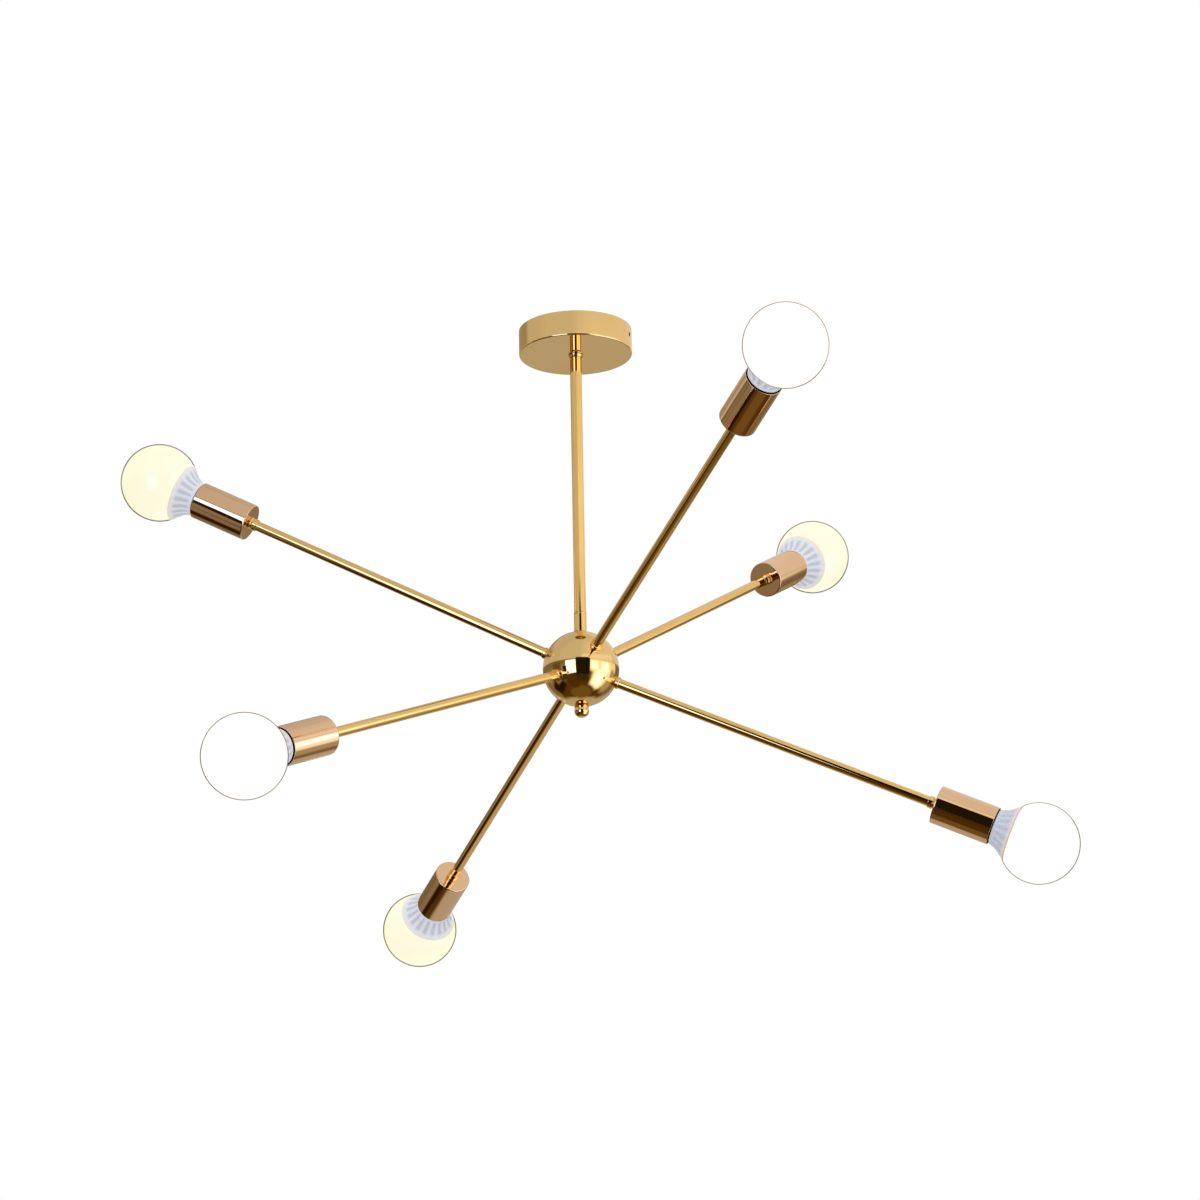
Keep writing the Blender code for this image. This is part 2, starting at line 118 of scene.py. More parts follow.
def make_camera():
    drop = math.radians(CAMERA_DROP)
    turn = math.radians(CAMERA_TURN)
    level = Vector((math.sin(turn), -math.cos(turn), 0))
    offset = level * math.cos(drop) - UP * math.sin(drop)
    look = -offset
    right = look.cross(UP).normalized()
    up = right.cross(look)
    look, right = turned_pair(look, right, CAMERA_YAW)
    look, up = turned_pair(look, up, CAMERA_PITCH)
    right, up = turned_pair(right, up, CAMERA_ROLL)
    data = bpy.data.cameras.new("camera")
    data.lens = CAMERA_LENS
    data.sensor_width = CAMERA_SENSOR
    data.clip_end = 100.0
    camera = bpy.data.objects.new("camera", data)
    bpy.context.scene.collection.objects.link(camera)
    turn_matrix = Matrix((right, up, -look)).transposed().to_4x4()
    camera.matrix_world = Matrix.Translation(HUB + offset * CAMERA_DISTANCE) @ turn_matrix
    bpy.context.scene.camera = camera


# ---------------------------------------------------------------- mesh helpers
# A rounded corner takes at most CORNER_SHARE of each side beside it, and its support points
# lie SUPPORT_REACH times its size from the corner. Edges that turn by more than CREASE stay
# sharp.
CORNER_SHARE = 0.3
SUPPORT_REACH = 1.4
CREASE = math.radians(50)


def soften(outline, radius, steps=4):
    """Round an outline's corners, with a support point each side so that flats stay flat."""
    points = [Vector(point) for point in outline]
    closed = outline[0][0] > 0
    result = []
    count = len(points)
    for index, corner in enumerate(points):
        if not closed and index in (0, count - 1):
            result.append(corner)
            continue
        back = points[index - 1] - corner
        ahead = points[(index + 1) % count] - corner
        size = min(radius, CORNER_SHARE * back.length, CORNER_SHARE * ahead.length)
        start = corner + back.normalized() * size
        end = corner + ahead.normalized() * size
        result.append(corner + back.normalized() * size * SUPPORT_REACH)
        for step in range(steps + 1):
            share = step / steps
            near = start.lerp(corner, share)
            far = corner.lerp(end, share)
            result.append(near.lerp(far, share))
        result.append(corner + ahead.normalized() * size * SUPPORT_REACH)
    return [(point.x, point.y) for point in result]


def circle(radius, start, end, steps):
    """(radius, height) points round a ball, between two angles in degrees above its equator.
    A point at a pole lies exactly on the axis."""
    points = []
    for step in range(steps + 1):
        angle = math.radians(start + (end - start) * step / steps)
        across = radius * math.cos(angle)
        points.append((across if across > 1e-5 else 0.0, radius * math.sin(angle)))
    return points


def mesh_from(name, bm):
    """Weld a bmesh's doubled points, face it outwards and make a smooth mesh of it."""
    bmesh.ops.remove_doubles(bm, verts=bm.verts[:], dist=1e-7)
    bmesh.ops.recalc_face_normals(bm, faces=bm.faces[:])
    mesh = bpy.data.meshes.new(name)
    bm.to_mesh(mesh)
    bm.free()
    mesh.shade_smooth()
    return mesh


def turned(name, outline, sides):
    """Spin (radius, height) points about Z. An outline that starts off the axis is closed."""
    bm = bmesh.new()
    verts = [bm.verts.new((radius * MM, 0, height * MM)) for radius, height in outline]
    edges = [bm.edges.new(pair) for pair in zip(verts, verts[1:])]
    if outline[0][0] > 0:
        edges.append(bm.edges.new((verts[-1], verts[0])))
    bmesh.ops.spin(
        bm,
        geom=verts + edges,
        cent=(0, 0, 0),
        axis=(0, 0, 1),
        angle=2 * math.pi,
        steps=sides,
        use_merge=True,
    )
    return mesh_from(name, bm)


def place(name, mesh, material, body, nodes, matrix=None):
    """Show a mesh as the piece that stands for CAD nodes and rides on their body. Pieces that
    share a mesh share its material too."""
    if not mesh.materials:
        mesh.materials.append(material)
    piece = bpy.data.objects.new(name, mesh)
    bpy.context.scene.collection.objects.link(piece)
    piece.matrix_world = matrix if matrix is not None else Matrix.Identity(4)
    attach(piece, body)
    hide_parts(*nodes)
    return piece


# ---------------------------------------------------------------- materials
class Nodes:
    """Short calls for building one node tree."""

    def __init__(self, tree):
        self.tree = tree

    def add(self, kind, **settings):
        node = self.tree.nodes.new(kind)
        for name, value in settings.items():
            setattr(node, name, value)
        return node

    def link(self, source, target):
        self.tree.links.new(source, target)

    def feed(self, socket, value):
        """Link a socket to another one, or set it to a plain value."""
        if isinstance(value, bpy.types.NodeSocket):
            self.link(value, socket)
        else:
            socket.default_value = value

    def math(self, operation, first, second=0.0, clamp=False):
        node = self.add("ShaderNodeMath", operation=operation, use_clamp=clamp)
        self.feed(node.inputs[0], first)
        self.feed(node.inputs[1], second)
        return node.outputs[0]

    def axes(self, vector):
        """The X, Y and Z outputs of a vector."""
        node = self.add("ShaderNodeSeparateXYZ")
        self.link(vector, node.inputs[0])
        return node.outputs

    def noise(self, vector, scale, detail=3.0):
        node = self.add("ShaderNodeTexNoise")
        node.inputs["Scale"].default_value = scale
        node.inputs["Detail"].default_value = detail
        self.link(vector, node.inputs["Vector"])
        return node.outputs["Fac"]

    def spread(self, value, low, high, start=0.0, end=1.0):
        """Go from low to high as a value goes from start to end."""
        node = self.add("ShaderNodeMapRange")
        node.inputs["From Min"].default_value = start
        node.inputs["From Max"].default_value = end
        self.feed(node.inputs["To Min"], low)
        self.feed(node.inputs["To Max"], high)
        self.link(value, node.inputs["Value"])
        return node.outputs["Result"]

    def rise(self, value, stretch):
        """Go from 0 to 1 over a stretch of (start, end) in millimetres."""
        return self.spread(value, 0.0, 1.0, start=stretch[0] * MM, end=stretch[1] * MM)

    def fall(self, value, stretch):
        """Go from 1 to 0 over a stretch of (start, end) in millimetres."""
        return self.spread(value, 1.0, 0.0, start=stretch[0] * MM, end=stretch[1] * MM)

    def mix(self, share, first, second):
        node = self.add("ShaderNodeMix", data_type="RGBA")
        self.feed(node.inputs["Factor"], share)
        self.feed(node.inputs["A"], first if not isinstance(first, tuple) else (*first, 1.0))
        self.feed(node.inputs["B"], second if not isinstance(second, tuple) else (*second, 1.0))
        return node.outputs["Result"]

    def stretched(self, vector, scale):
        node = self.add("ShaderNodeMapping")
        node.inputs["Scale"].default_value = scale
        self.link(vector, node.inputs["Vector"])
        return node.outputs["Vector"]


def new_material(name, metallic=0.0):
    material = bpy.data.materials.new(name)
    material.use_nodes = True
    nodes = Nodes(material.node_tree)
    shader = material.node_tree.nodes["Principled BSDF"]
    shader.inputs["Metallic"].default_value = metallic
    coordinates = nodes.add("ShaderNodeTexCoord").outputs["Object"]
    return material, nodes, shader, coordinates


def bump(nodes, shader, height, distance, strength=1.0):
    node = nodes.add("ShaderNodeBump")
    node.inputs["Distance"].default_value = distance
    node.inputs["Strength"].default_value = strength
    nodes.link(height, node.inputs["Height"])
    nodes.link(node.outputs["Normal"], shader.inputs["Normal"])


# The cups get painted shade inside this radius and past this distance from the hub, in
# millimetres, darkening their hollow as if in shadow. Both limits lie within the thickness of the
# metal.
CUP_SHADE_RADIUS = 18.4
CUP_SHADE_START = 382.5
CUP_SHADE_TONE = (0.02, 0.014, 0.01)


def polished_plate(name, light, deep, roughness, lengthwise, wave=0.0, shade_inside=False):
    """Mirror-polished plating: faint tone drift, wiped haze and, with a small lengthwise scale,
    long polishing lines. Wave is the depth in metres of faint ripples. The last option gives the
    piece painted shade inside, near black, standing in for the shadow in its hollow."""
    material, nodes, shader, where = new_material(name, metallic=1.0)
    drift = nodes.noise(where, scale=9.0, detail=2.0)
    tone = nodes.mix(nodes.spread(drift, 0.0, 1.0, start=0.35, end=0.65), deep, light)
    # Painted shade: inside the cup's hollow the colour goes near black, as if in shadow.
    if shade_inside:
        x, y, z = nodes.axes(where)
        squares = [nodes.math("MULTIPLY", axis, axis) for axis in (x, y)]
        limit = (CUP_SHADE_RADIUS * MM) ** 2
        plated = nodes.math("GREATER_THAN", nodes.math("ADD", *squares), limit)
        past_floor = nodes.math("GREATER_THAN", z, CUP_SHADE_START * MM)
        inside = nodes.math("MULTIPLY", nodes.math("SUBTRACT", 1.0, plated), past_floor)
        tone = nodes.mix(inside, tone, CUP_SHADE_TONE)
    nodes.link(tone, shader.inputs["Base Color"])
    haze = nodes.noise(nodes.stretched(where, (1, 1, lengthwise)), scale=26.0, detail=4.0)
    wiped = nodes.spread(haze, roughness * 0.7, roughness * 1.5, start=0.3, end=0.75)
    nodes.link(wiped, shader.inputs["Roughness"])
    if wave:
        bump(nodes, shader, nodes.noise(where, scale=45.0, detail=1.0), wave)
    return material


def plain_metal(name, colour, roughness, scale):
    """Plated or turned steel and brass, with fine grain."""
    material, nodes, shader, where = new_material(name, metallic=1.0)
    grain = nodes.noise(where, scale, detail=4.0)
    darker = tuple(0.72 * channel for channel in colour)
    nodes.link(nodes.mix(grain, darker, colour), shader.inputs["Base Color"])
    nodes.link(nodes.spread(grain, roughness * 0.75, roughness * 1.3), shader.inputs["Roughness"])
    bump(nodes, shader, grain, distance=0.00005, strength=0.5)
    return material


def moulded_plastic(name, colour, roughness):
    """Plain plastic with a faint cloud in its colour and a fine moulded grain."""
    material, nodes, shader, where = new_material(name)
    cloud = nodes.noise(where, scale=60.0)
    darker = tuple(0.9 * channel for channel in colour)
    nodes.link(nodes.mix(cloud, darker, colour), shader.inputs["Base Color"])
    nodes.link(nodes.spread(cloud, roughness * 0.85, roughness * 1.2), shader.inputs["Roughness"])
    bump(nodes, shader, nodes.noise(where, scale=900.0, detail=2.0), distance=0.000006)
    return material


# A bulb's neck. Heights run outwards along the arm from the middle of the globe, in
# millimetres, so the neck's are negative. Its foot stands just over the cup, its ribs come in
# over RIB_START and their painted groove shade fades over SHADE_END, and painted light from the
# globe lifts it over SEAM_GLOW, with a thin line at the seam.
RIBS = 18
NECK_FOOT = -46.3
RIB_START = (-44.6, -41.6)
SHADE_END = (-30.6, -28.2)
SEAM_GLOW = (-31.6, -28.2)
SEAM_LINE = (-28.9, -28.3)
FOOT_SHADOW = (NECK_FOOT - 0.2, NECK_FOOT)
SHADOW_TONE = (0.006, 0.005, 0.005)
CLOUD_DEPTH = 0.12


def ribbed_plastic(name, fin, groove, glow, line):
    """White plastic of a bulb's neck: painted shade in the grooves between the fins, a band of
    painted light from the globe with a thin line at the seam, and a painted black shadow ring below the
    foot."""
    material, nodes, shader, where = new_material(name)
    x, y, z = nodes.axes(where)
    angle = nodes.math("MULTIPLY", nodes.math("ARCTAN2", y, x), RIBS)
    depth = nodes.spread(nodes.math("COSINE", angle), 1.0, 0.0, start=-1.0, end=1.0)
    ribbed = nodes.math("MULTIPLY", nodes.rise(z, RIB_START), nodes.fall(z, SHADE_END))
    depth = nodes.math("MULTIPLY", depth, ribbed)
    cloud = nodes.spread(nodes.noise(where, scale=60.0), 0.0, CLOUD_DEPTH)
    # Painted shade: the grooves between the fins take the darker groove colour, as if in shadow.
    shade = nodes.mix(nodes.math("ADD", depth, cloud, clamp=True), fin, groove)
    # Painted light: the band next to the seam is lightened as if lit by the globe.
    shade = nodes.mix(nodes.rise(z, SEAM_GLOW), shade, glow)
    shade = nodes.mix(nodes.rise(z, SEAM_LINE), shade, line)
    # Painted shadow: the ring below the foot goes near black, standing in for the cup's shadow.
    shade = nodes.mix(nodes.fall(z, FOOT_SHADOW), shade, SHADOW_TONE)
    nodes.link(shade, shader.inputs["Base Color"])
    nodes.link(nodes.spread(cloud, 0.38, 0.46, end=CLOUD_DEPTH), shader.inputs["Roughness"])
    shader.inputs["Specular IOR Level"].default_value = 0.25
    return material


# The globe's glow changes over GLOW_STRETCH, which are heights like the neck's, and noise moves
# it by up to GLOW_WAVER, in metres. Its clear skin comes in as Facing goes from the rim to
# SKIN_STRETCH past it.
GLOW_STRETCH = (-26.0, 30.0)
GLOW_WAVER = 0.004
SKIN_STRETCH = 0.12


def lit_opal(name, by_neck, by_tip, strength, rim, skin_tone):
    """Glowing opal glass whose light changes from its neck to its tip, under an amber-edged
    clear skin that mirrors only at a glancing angle."""
    material, nodes, shader, where = new_material(name)
    waver = nodes.spread(nodes.noise(where, scale=18.0, detail=2.0), -GLOW_WAVER, GLOW_WAVER)
    height = nodes.math("ADD", nodes.axes(where)["Z"], waver)
    glow = nodes.mix(nodes.rise(height, GLOW_STRETCH), by_neck, by_tip)
    nodes.link(glow, shader.inputs["Emission Color"])
    shader.inputs["Emission Strength"].default_value = strength
    shader.inputs["Base Color"].default_value = (0.08, 0.075, 0.065, 1.0)
    satin = nodes.spread(waver, 0.18, 0.26, start=-GLOW_WAVER, end=GLOW_WAVER)
    nodes.link(satin, shader.inputs["Roughness"])
    skin = nodes.add("ShaderNodeBsdfGlossy")
    skin.inputs["Color"].default_value = (*skin_tone, 1.0)
    skin.inputs["Roughness"].default_value = 0.15
    facing = nodes.add("ShaderNodeLayerWeight").outputs["Facing"]
    edge = nodes.spread(facing, 0.0, 1.0, start=rim, end=rim + SKIN_STRETCH)
    layers = nodes.add("ShaderNodeMixShader")
    nodes.link(edge, layers.inputs[0])
    nodes.link(shader.outputs[0], layers.inputs[1])
    nodes.link(skin.outputs[0], layers.inputs[2])
    output = material.node_tree.nodes["Material Output"]
    nodes.link(layers.outputs[0], output.inputs["Surface"])
    return material


gold = polished_plate(
    "gold_plate",
    light=(0.98, 0.66, 0.27),
    deep=(0.96, 0.63, 0.25),
    roughness=0.04,
    lengthwise=1.0,
    wave=0.00002,
)
tube_gold = polished_plate(
    "gold_tube",
    light=(0.98, 0.65, 0.24),
    deep=(0.96, 0.61, 0.21),
    roughness=0.04,
    lengthwise=0.1,
)
rose = polished_plate(
    "rose_plate",
    light=(0.94, 0.61, 0.36),
    deep=(0.91, 0.57, 0.32),
    roughness=0.05,
    lengthwise=0.15,
    shade_inside=True,
)
zinc = plain_metal("zinc_steel", (0.62, 0.63, 0.65), roughness=0.35, scale=220.0)
dark_steel = plain_metal("dark_steel", (0.06, 0.05, 0.045), roughness=0.4, scale=300.0)
raw_brass = plain_metal("raw_brass", (0.80, 0.62, 0.28), roughness=0.28, scale=260.0)
nickel = plain_metal("nickel", (0.72, 0.70, 0.66), roughness=0.22, scale=260.0)
black = moulded_plastic("black_plastic", (0.03, 0.03, 0.032), roughness=0.45)
grey = moulded_plastic("grey_plastic", (0.72, 0.72, 0.70), roughness=0.5)
# Lit and shaded copies of the neck material: painted shade for a neck in shadow, painted light for the
# others.
painted_shade_neck = ribbed_plastic(
    "neck_painted_shade",
    fin=(0.60, 0.64, 0.74),
    groove=(0.50, 0.54, 0.63),
    glow=(0.90, 0.80, 0.78),
    line=(0.80, 0.53, 0.40),
)
painted_light_neck = ribbed_plastic(
    "neck_painted_light",
    fin=(0.78, 0.80, 0.88),
    groove=(0.55, 0.58, 0.67),
    glow=(0.82, 0.84, 0.90),
    line=(0.86, 0.82, 0.72),
)
bright_opal = lit_opal(
    "opal_bright",
    by_neck=(1.0, 0.97, 0.93),
    by_tip=(1.0, 1.0, 1.0),
    strength=1.05,
    rim=0.73,
    skin_tone=(0.62, 0.42, 0.21),
)
warm_opal = lit_opal(
    "opal_warm",
    by_neck=(0.92, 0.89, 0.69),
    by_tip=(0.90, 0.855, 0.61),
    strength=1.0,
    rim=0.70,
    skin_tone=(0.45, 0.36, 0.20),
)

NODE_FINISH = {
    "ceiling_bracket": zinc,
    "canopy_screw_1": dark_steel,
    "canopy_screw_2": dark_steel,
    "terminal_block": grey,
    "earth_screw": raw_brass,
    "canopy_locknut": raw_brass,
    "lock_washer": zinc,
    "stem_coupler": zinc,
    "feed_cable": grey,
    "hub_spindle": zinc,
    "wire_connector": black,
}


def dress_cad_nodes():
    """Finish the CAD nodes that keep their own shape."""
    finishes = dict(NODE_FINISH)
    for number in ARMS:
        finishes["lampholder_%d" % number] = black
        finishes["bulb_cap_%d" % number] = nickel
    for name, material in finishes.items():
        mesh = frame["nodes"][name].data
        mesh.materials.clear()
        mesh.materials.append(material)


# ---------------------------------------------------------------- canopy
# From here to the bulbs, the sizes of the pieces are in millimetres. Holes, bores and rounded
# edges are given by their radius.
WIDE_SIDES = 192
CANOPY_WALL = 1.0
CANOPY_EDGE = 1.6
STEM_HOLE = 5.3
SCREW_HOLE = 2.6
DRILL_REACH = 5.0
DRILL_SIDES = 40


def make_canopy():
    low, high, radius = node_span("canopy_shell")
    outline = [
        (radius - CANOPY_WALL, high),
        (radius, high),
        (radius, low),
        (STEM_HOLE, low),
        (STEM_HOLE, low + CANOPY_WALL),
        (radius - CANOPY_WALL, low + CANOPY_WALL),
    ]
    mesh = turned("canopy", soften(outline, CANOPY_EDGE), WIDE_SIDES)
    canopy = place("canopy", mesh, gold, FIXTURE, ["canopy_shell"])
    screw_low, screw_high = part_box("canopy_screw_1")
    height = (screw_low.z + screw_high.z) / 2
    for side in (1, -1):
        drill_side_hole(canopy, side * radius * MM, height)
    canopy.data.set_sharp_from_angle(angle=math.radians(40))


def drill_side_hole(canopy, x, z):
    """Cut a level hole for a side screw through the canopy's wall."""
    drill = [(0, -DRILL_REACH), (SCREW_HOLE, -DRILL_REACH), (SCREW_HOLE, DRILL_REACH), (0, DRILL_REACH)]
    cutter = bpy.data.objects.new("side_hole", turned("side_hole", drill, DRILL_SIDES))
    bpy.context.scene.collection.objects.link(cutter)
    cutter.matrix_world = Matrix.Translation((x, 0, z)) @ Matrix.Rotation(math.pi / 2, 4, "Y")
    bpy.context.view_layer.update()
    modifier = canopy.modifiers.new("side hole", "BOOLEAN")
    modifier.operation = "DIFFERENCE"
    modifier.object = cutter
    bpy.context.view_layer.objects.active = canopy
    bpy.ops.object.modifier_apply(modifier=modifier.name)
    bpy.data.objects.remove(cutter)


# ---------------------------------------------------------------- stem
STEM_SIDES = 96
SMALL_EDGE = 0.3
FLANGE_TAPER = 1.4
FLANGE_LIP = 1.1
STEM_EDGE = 0.35
STEM_BORE = 5.0
# The stem's shoulder stops FLANGE_GAP under the flange. Above it is a thin threaded end, whose
# bore runs THREAD_BORE_DEPTH down past the shoulder and then widens.
FLANGE_GAP = 0.3
THREAD_RADIUS = 5.0
THREAD_BORE = 3.8
THREAD_BORE_DEPTH = 7.0
THREAD_BORE_TAPER = 1.0
# The joint line round the sleeve: how far it lies below the top, and its depth and half width.
JOINT_LINE = 1.6
JOINT_LINE_SIZE = 0.3


def make_stem():
    flange_low, high, radius = node_span("stem_flange")
    flange = [
        (STEM_HOLE, flange_low),
        (radius - FLANGE_TAPER, flange_low),
        (radius, high - FLANGE_LIP),
        (radius, high),
        (STEM_HOLE, high),
    ]
    mesh = turned("flange", soften(flange, SMALL_EDGE), STEM_SIDES)
    place("flange", mesh, tube_gold, FIXTURE, ["stem_flange"])

    low, high, radius = node_span("stem_tube")
    shoulder = flange_low - FLANGE_GAP
    stem = [
        (STEM_BORE, low),
        (radius, low),
        (radius, shoulder),
        (THREAD_RADIUS, shoulder),
        (THREAD_RADIUS, high),
        (THREAD_BORE, high),
        (THREAD_BORE, shoulder - THREAD_BORE_DEPTH),
        (STEM_BORE, shoulder - THREAD_BORE_DEPTH - THREAD_BORE_TAPER),
    ]
    mesh = turned("stem", soften(stem, STEM_EDGE), STEM_SIDES)
    place("stem", mesh, tube_gold, FIXTURE, ["stem_tube"])

    low, high, radius = node_span("stem_sleeve")
    line = high - JOINT_LINE
    sleeve = [
        (STEM_BORE, low),
        (radius, low),
        (radius, line - JOINT_LINE_SIZE),
        (radius - JOINT_LINE_SIZE, line),
        (radius, line + JOINT_LINE_SIZE),
        (radius, high),
        (STEM_BORE, high),
    ]
    mesh = turned("sleeve", soften(sleeve, SMALL_EDGE), STEM_SIDES)
    place("sleeve", mesh, tube_gold, FIXTURE, ["stem_sleeve"])


# ---------------------------------------------------------------- hub
HUB_WALL = 2.0
# Each half stops this many degrees short of the equator, which leaves a hairline.
HALF_GAP = 0.02
# The finial is a dome, then a straight side with a chamfered top, round a blind well.
FINIAL_DOME = 6.2
FINIAL_EDGE = 0.25
FINIAL_BORE = 4.3
FINIAL_WELL = 6.3


def make_hub():
    inner = HUB_RADIUS - HUB_WALL
    for name, node, sign, hole in (
        ("hub_upper", "hub_upper_shell", 1, HUB_TOP_HOLE),
        ("hub_lower", "hub_lower_shell", -1, HUB_FOOT_HOLE),
    ):
        pole = math.degrees(math.acos(hole / HUB_RADIUS))
        inner_pole = math.degrees(math.acos(hole / inner))
        outline = circle(HUB_RADIUS, HALF_GAP, pole, steps=60)
        outline += circle(inner, inner_pole, HALF_GAP, steps=24)
        outline = [(across, sign * height) for across, height in outline]
        mesh = turned(name, outline, WIDE_SIDES)
        mesh.set_sharp_from_angle(angle=CREASE)
        place(name, mesh, gold, FIXTURE, [node], Matrix.Translation(HUB))

    low, high, radius = node_span("finial_nut")
    quarter = circle(radius, -90, 0, steps=24)
    dome = [(across, low + FINIAL_DOME * (1 + height / radius)) for across, height in quarter]
    chamfer = [(radius, high - FINIAL_EDGE), (radius - FINIAL_EDGE, high)]
    floor = high - FINIAL_WELL
    well = [(FINIAL_BORE, high), (FINIAL_BORE, floor), (0.0, floor)]
    mesh = turned("finial", dome + chamfer + well, STEM_SIDES)
    mesh.set_sharp_from_angle(angle=CREASE)
    place("finial", mesh, tube_gold, FIXTURE, ["finial_nut"])


# ---------------------------------------------------------------- arms
ARM_SIDES = 64
CUP_SIDES = 160
TUBE_WALL = 1.0
# The shoulder where a tube meets the ball: how far it stands proud of the tube, its gap to the
# ball, its length, and the taper after it.
SHOULDER_RISE = 1.0
SHOULDER_GAP = 0.3
SHOULDER_LENGTH = 3.0
SHOULDER_TAPER = 0.4
COLLAR_FIT = 0.05
# The groove round a collar: its depth, and how far back its four corners lie from the end.
GROOVE_DEPTH = 0.8
GROOVE_CORNERS = (3.4, 2.8, 2.0, 1.4)
CUP_FIT = 0.3
CUP_WALL = 0.8
CUP_FLOOR = 1.2
CUP_EDGE = 1.1


def tube_outline(radius):
    start, end, shoulder_radius = along("arm_tube_1", 1)
    shoulder = HUB_RADIUS + SHOULDER_GAP
    return [
        (radius - TUBE_WALL, start),
        (radius, start),
        (radius, shoulder),
        (shoulder_radius, shoulder),
        (shoulder_radius, shoulder + SHOULDER_LENGTH),
        (radius, shoulder + SHOULDER_LENGTH + SHOULDER_TAPER),
        (radius, end),
        (radius - TUBE_WALL, end),
    ]


def collar_outline(tube_radius):
    start, end, radius = along("socket_collar_1", 1)
    groove_radius = radius - GROOVE_DEPTH
    corners = [end - depth for depth in GROOVE_CORNERS]
    return [
        (tube_radius + COLLAR_FIT, start),
        (radius, start),
        (radius, corners[0]),
        (groove_radius, corners[1]),
        (groove_radius, corners[2]),
        (radius, corners[3]),
        (radius, end),
        (tube_radius + COLLAR_FIT, end),
    ]


def cup_outline(tube_radius):
    start, end, radius = along("socket_cup_1", 1)
    return [
        (tube_radius + CUP_FIT, start),
        (radius, start),
        (radius, end),
        (radius - CUP_WALL, end),
        (radius - CUP_WALL, start + CUP_FLOOR),
        (tube_radius + CUP_FIT, start + CUP_FLOOR),
    ]


def make_arms():
    """Put a tube, collar and cup on every arm. The six arms share their meshes."""
    radius = along("arm_tube_1", 1)[2] - SHOULDER_RISE
    tube = turned("arm_tube", soften(tube_outline(radius), SMALL_EDGE), ARM_SIDES)
    collar = turned("collar", soften(collar_outline(radius), SMALL_EDGE), ARM_SIDES)
    cup = turned("socket_cup", soften(cup_outline(radius), CUP_EDGE), CUP_SIDES)
    kinds = (
        ("arm_tube", tube, tube_gold, "polished_gold"),
        ("socket_collar", collar, tube_gold, "rose_gold"),
        ("socket_cup", cup, rose, "rose_gold"),
    )
    for number in ARMS:
        matrix = arm_matrix(number)
        for kind, mesh, material, slot in kinds:
            node = "%s_%d" % (kind, number)
            place("%s_fine_%d" % (kind, number), mesh, material, FIXTURE, [node], matrix)


# ---------------------------------------------------------------- bulbs
# Heights run outwards along the arm from the middle of the globe, as in the neck's material.
NECK_LOW = -52.3
NECK_ROWS = 30
POINTS_PER_RIB = 10
FOOT_RADIUS = 17.3
# Below its foot the neck steps in by FOOT_STEP, over FOOT_STEP_HEIGHT.
FOOT_STEP = 1.4
FOOT_STEP_HEIGHT = 0.3
# The flare to the seam is partly straight, and the rest is a curve of this power.
FLARE_STRAIGHT = 0.46
FLARE_POWER = 2.4
RIB_DEPTH = 1.0
# The ribs fade out over RIB_FADE, and stop RIB_MARGIN short of the neck's top.
RIB_FADE = 2.0
RIB_MARGIN = 2.2
NECK_TOP_GAP = 0.1
GLOBE_SIDES = 128
GLOBE_WALL = 1.5


def ramp(value, length):
    """A smooth step from 0 to 1 as a value goes from 0 to a length."""
    share = max(0.0, min(1.0, value / length))
    return share * share * (3 - 2 * share)


def neck_radius(height, globe_radius, seam):
    """The neck's outer radius: a foot over the cup, flaring from there to the seam."""
    if height < NECK_FOOT:
        return FOOT_RADIUS - FOOT_STEP
    seam_radius = math.sqrt(globe_radius ** 2 - seam ** 2)
    share = (height - NECK_FOOT) / (seam - NECK_FOOT)
    flare = FLARE_STRAIGHT * share + (1 - FLARE_STRAIGHT) * share ** FLARE_POWER
    return FOOT_RADIUS + (seam_radius - FOOT_RADIUS) * flare


def ribbed_neck(globe_radius, seam):
    """A flared plastic neck whose upright cooling ribs fade out at both ends."""
    top = seam - NECK_TOP_GAP
    columns = RIBS * POINTS_PER_RIB
    angles = [2 * math.pi * column / columns for column in range(columns)]
    waves = [0.5 - 0.5 * math.cos(RIBS * angle) for angle in angles]
    heights = [NECK_LOW, NECK_FOOT - FOOT_STEP_HEIGHT]
    heights += [NECK_FOOT + (top - NECK_FOOT) * row / NECK_ROWS for row in range(NECK_ROWS + 1)]
    rings = []
    for height in heights:
        base = neck_radius(height, globe_radius, seam)
        fade = ramp(height - RIB_START[0], RIB_START[1] - RIB_START[0])
        fade *= ramp(top - RIB_MARGIN - height, RIB_FADE)
        rings.append([(base - RIB_DEPTH * fade * wave, height) for wave in waves])
    hidden_side = ((28.2, top), (24.0, top - 6.5), (18.8, -38.0), (14.0, -45.6), (12.0, NECK_LOW))
    rings += [[point] * columns for point in hidden_side]

    bm = bmesh.new()
    grid = []
    for ring in rings:
        row = []
        for angle, (radius, height) in zip(angles, ring):
            x = radius * math.cos(angle) * MM
            y = radius * math.sin(angle) * MM
            row.append(bm.verts.new((x, y, height * MM)))
        grid.append(row)
    for index, row in enumerate(grid):
        other = grid[(index + 1) % len(grid)]
        for column in range(columns):
            after = (column + 1) % columns
            bm.faces.new((row[column], row[after], other[after], other[column]))
    mesh = mesh_from("bulb_neck", bm)
    mesh.set_sharp_from_angle(angle=math.radians(55))
    return mesh


def globe_mesh(name, radius, seam):
    inner = radius - GLOBE_WALL
    inner_seam = math.degrees(math.asin(seam / inner))
    outer_seam = math.degrees(math.asin(seam / radius))
    outline = circle(inner, 90, inner_seam, steps=24) + circle(radius, outer_seam, 90, steps=64)
    mesh = turned(name, outline, GLOBE_SIDES)
    mesh.set_sharp_from_angle(angle=CREASE)
    return mesh


